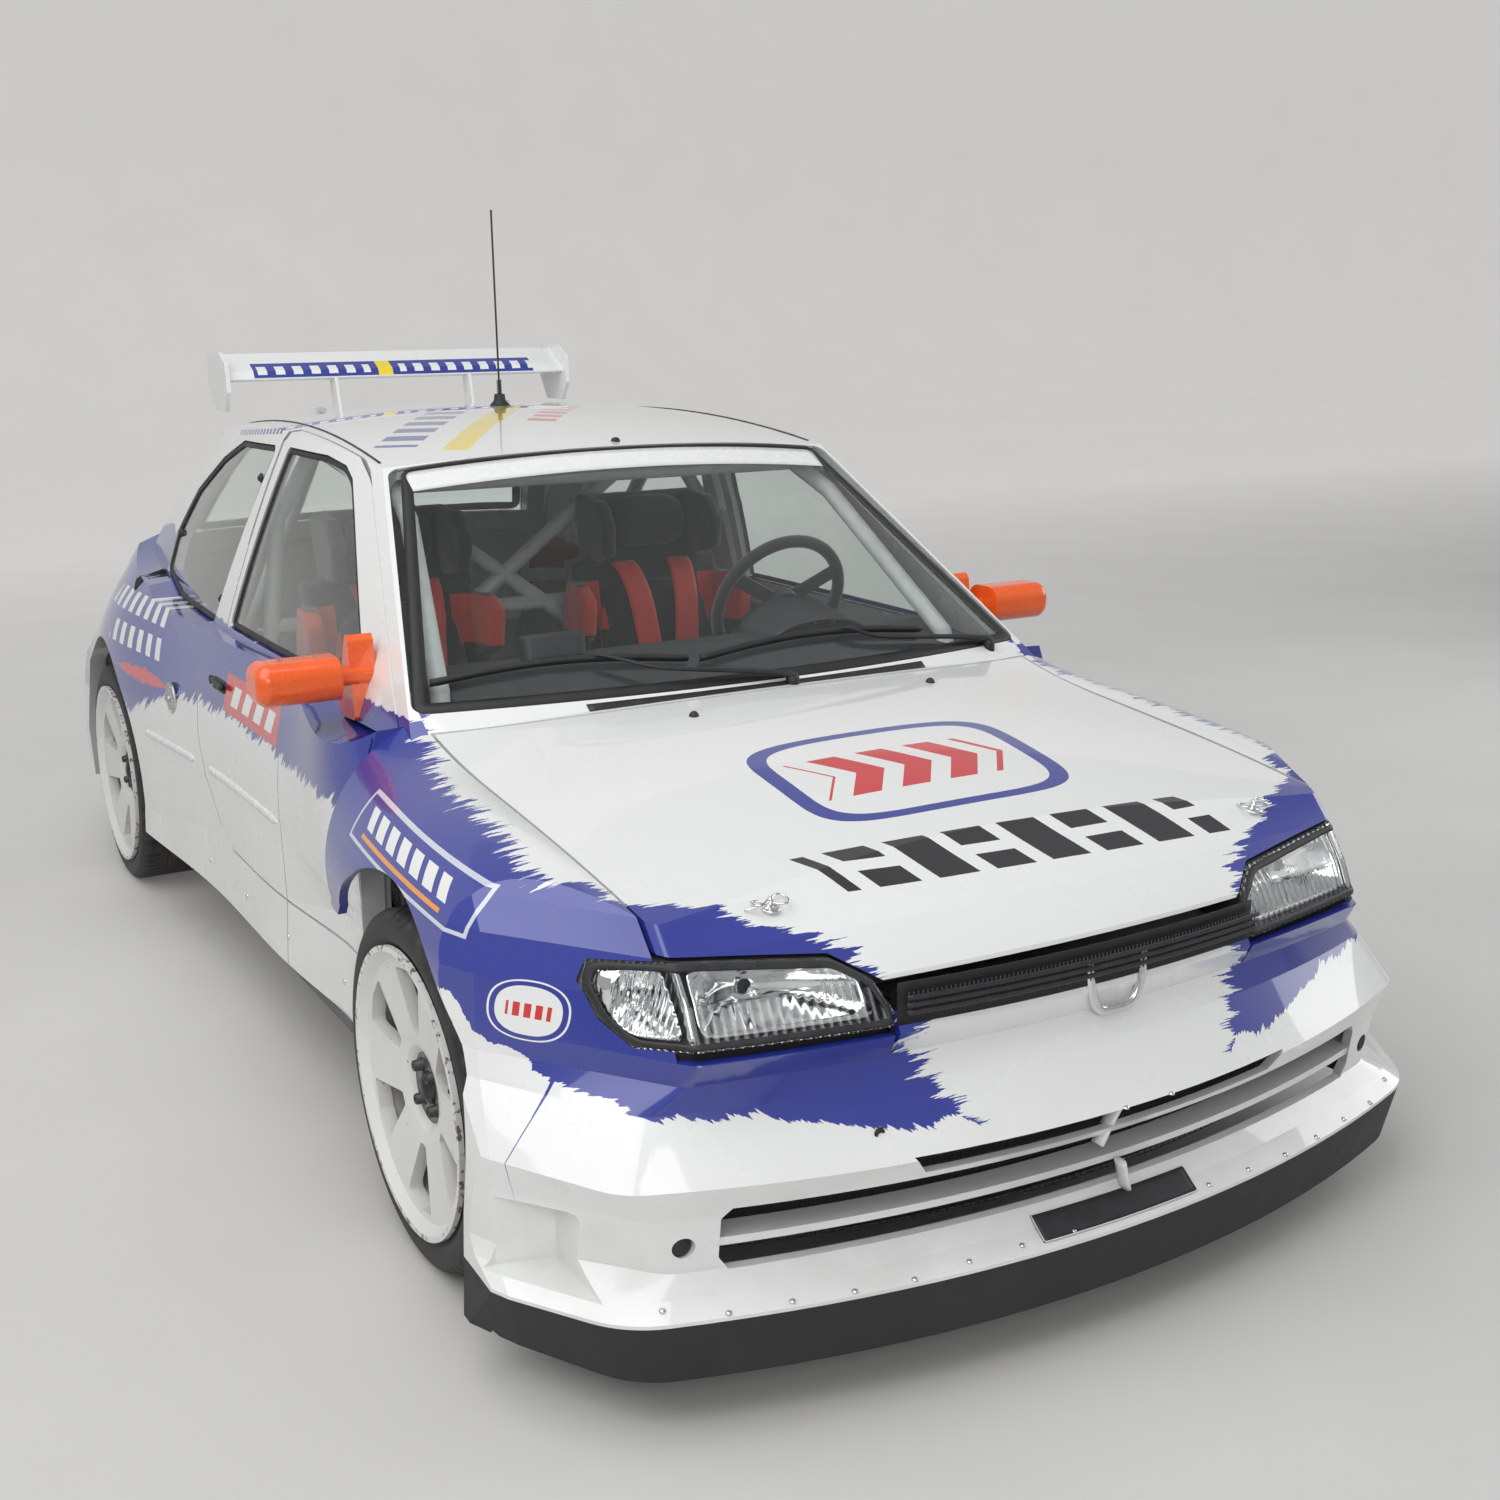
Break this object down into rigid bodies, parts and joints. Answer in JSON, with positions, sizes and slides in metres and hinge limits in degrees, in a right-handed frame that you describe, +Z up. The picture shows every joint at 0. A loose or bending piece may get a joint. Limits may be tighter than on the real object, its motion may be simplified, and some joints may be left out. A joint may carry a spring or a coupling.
{
  "type": "rally car",
  "caption": "Low wide-arched hatchback rally car with hinged doors, bonnet and tailgate, steering front wheels, roll cage, bucket seats and a rear wing.",
  "frame": {"origin": "centre of the car's footprint, on the ground", "axes": "+X to the car's left, +Y to its tail, +Z up; the nose faces -Y"},
  "size_m": [1.934, 4.036, 1.886],
  "materials": {
    "body_paint": "gloss",
    "skirt": "satin",
    "rim": "satin",
    "tyre": "matte",
    "glass": "clear",
    "lens": "clear",
    "lamp_housing": "gloss",
    "tail_lens": "gloss",
    "steel": "satin",
    "floor": "satin",
    "mirror_orange": "gloss",
    "dash": "matte",
    "seat": "matte",
    "cage": "satin",
    "engine": "satin",
    "radiator": "satin",
    "steering": "matte",
    "aerial": "satin"
  },
  "bodies": {
    "shell": {"front_wing_left": "body_paint", "front_wing_right": "body_paint", "front_bumper": "body_paint", "grille_bar": "body_paint", "front_skirt": "skirt", "roof": "body_paint", "scuttle": "body_paint", "body_side_left": "body_paint", "body_side_right": "body_paint", "tail_lamps": "tail_lens", "rear_bumper": "body_paint", "quarter_glass": "glass", "windscreen": "glass", "front_suspension": "steel", "rear_axle": "steel", "floor_pan": "floor", "headlamp_lenses": "lens", "headlamps": "lamp_housing", "aerial": "aerial", "dashboard": "dash", "seats": "seat", "roll_cage": "cage", "engine": "engine", "radiator": "radiator", "exhaust": "steel"},
    "bonnet": {"bonnet": "body_paint"},
    "tailgate": {"tailgate": "body_paint", "rear_glass": "glass", "rear_wing": "body_paint"},
    "door_left": {"door_left": "body_paint", "door_glass_left": "glass", "mirror_left": "mirror_orange"},
    "door_right": {"door_right": "body_paint", "door_glass_right": "glass", "mirror_right": "mirror_orange"},
    "steering_wheel": {"steering_wheel": "steering"},
    "knuckle_left": {"knuckle_left": "steel"},
    "knuckle_right": {"knuckle_right": "steel"},
    "wheel_front_left": {"wheel_front_left": "rim", "tyre_front_left": "tyre"},
    "wheel_front_right": {"wheel_front_right": "rim", "tyre_front_right": "tyre"},
    "wheel_rear_left": {"wheel_rear_left": "rim", "tyre_rear_left": "tyre"},
    "wheel_rear_right": {"wheel_rear_right": "rim", "tyre_rear_right": "tyre"}
  },
  "joints": [
    {"name": "bonnet_hinge", "type": "hinge", "parent": "shell", "child": "bonnet", "pos_m": [0, -0.843, 0.887], "axis": [-1, 0, 0], "range_deg": [0, 55]},
    {"name": "tailgate_hinge", "type": "hinge", "parent": "shell", "child": "tailgate", "pos_m": [0, 1.137, 1.366], "axis": [1, 0, 0], "range_deg": [0, 70]},
    {"name": "door_left_hinge", "type": "hinge", "parent": "shell", "child": "door_left", "pos_m": [0.847, -0.784, 0.6], "axis": [0, 0, -1], "range_deg": [0, 65]},
    {"name": "door_right_hinge", "type": "hinge", "parent": "shell", "child": "door_right", "pos_m": [-0.847, -0.784, 0.6], "axis": [0, 0, 1], "range_deg": [0, 65]},
    {"name": "steer_left", "type": "hinge", "parent": "shell", "child": "knuckle_left", "pos_m": [0.744, -1.196, 0.32], "axis": [0, 0, 1], "range_deg": [-25, 25]},
    {"name": "steer_right", "type": "hinge", "parent": "shell", "child": "knuckle_right", "pos_m": [-0.744, -1.196, 0.32], "axis": [0, 0, 1], "range_deg": [-25, 25]},
    {"name": "steering_wheel_turn", "type": "hinge", "parent": "shell", "child": "steering_wheel", "pos_m": [0.366, -0.334, 0.948], "axis": [0, 0.9135, 0.4067], "range_deg": [-305, 305]},
    {"name": "wheel_front_left_spin", "type": "hinge", "parent": "knuckle_left", "child": "wheel_front_left", "pos_m": [0.806, -1.196, 0.32], "axis": [1, 0, 0], "continuous": true},
    {"name": "wheel_front_right_spin", "type": "hinge", "parent": "knuckle_right", "child": "wheel_front_right", "pos_m": [-0.806, -1.196, 0.32], "axis": [1, 0, 0], "continuous": true},
    {"name": "wheel_rear_left_spin", "type": "hinge", "parent": "shell", "child": "wheel_rear_left", "pos_m": [0.78, 1.384, 0.32], "axis": [1, 0, 0], "continuous": true},
    {"name": "wheel_rear_right_spin", "type": "hinge", "parent": "shell", "child": "wheel_rear_right", "pos_m": [-0.78, 1.384, 0.32], "axis": [1, 0, 0], "continuous": true}
  ],
  "couplings": [
    {"joint": "steer_right", "follows": "steer_left", "ratio": 1},
    {"joint": "steering_wheel_turn", "follows": "steer_left", "ratio": 12}
  ]
}
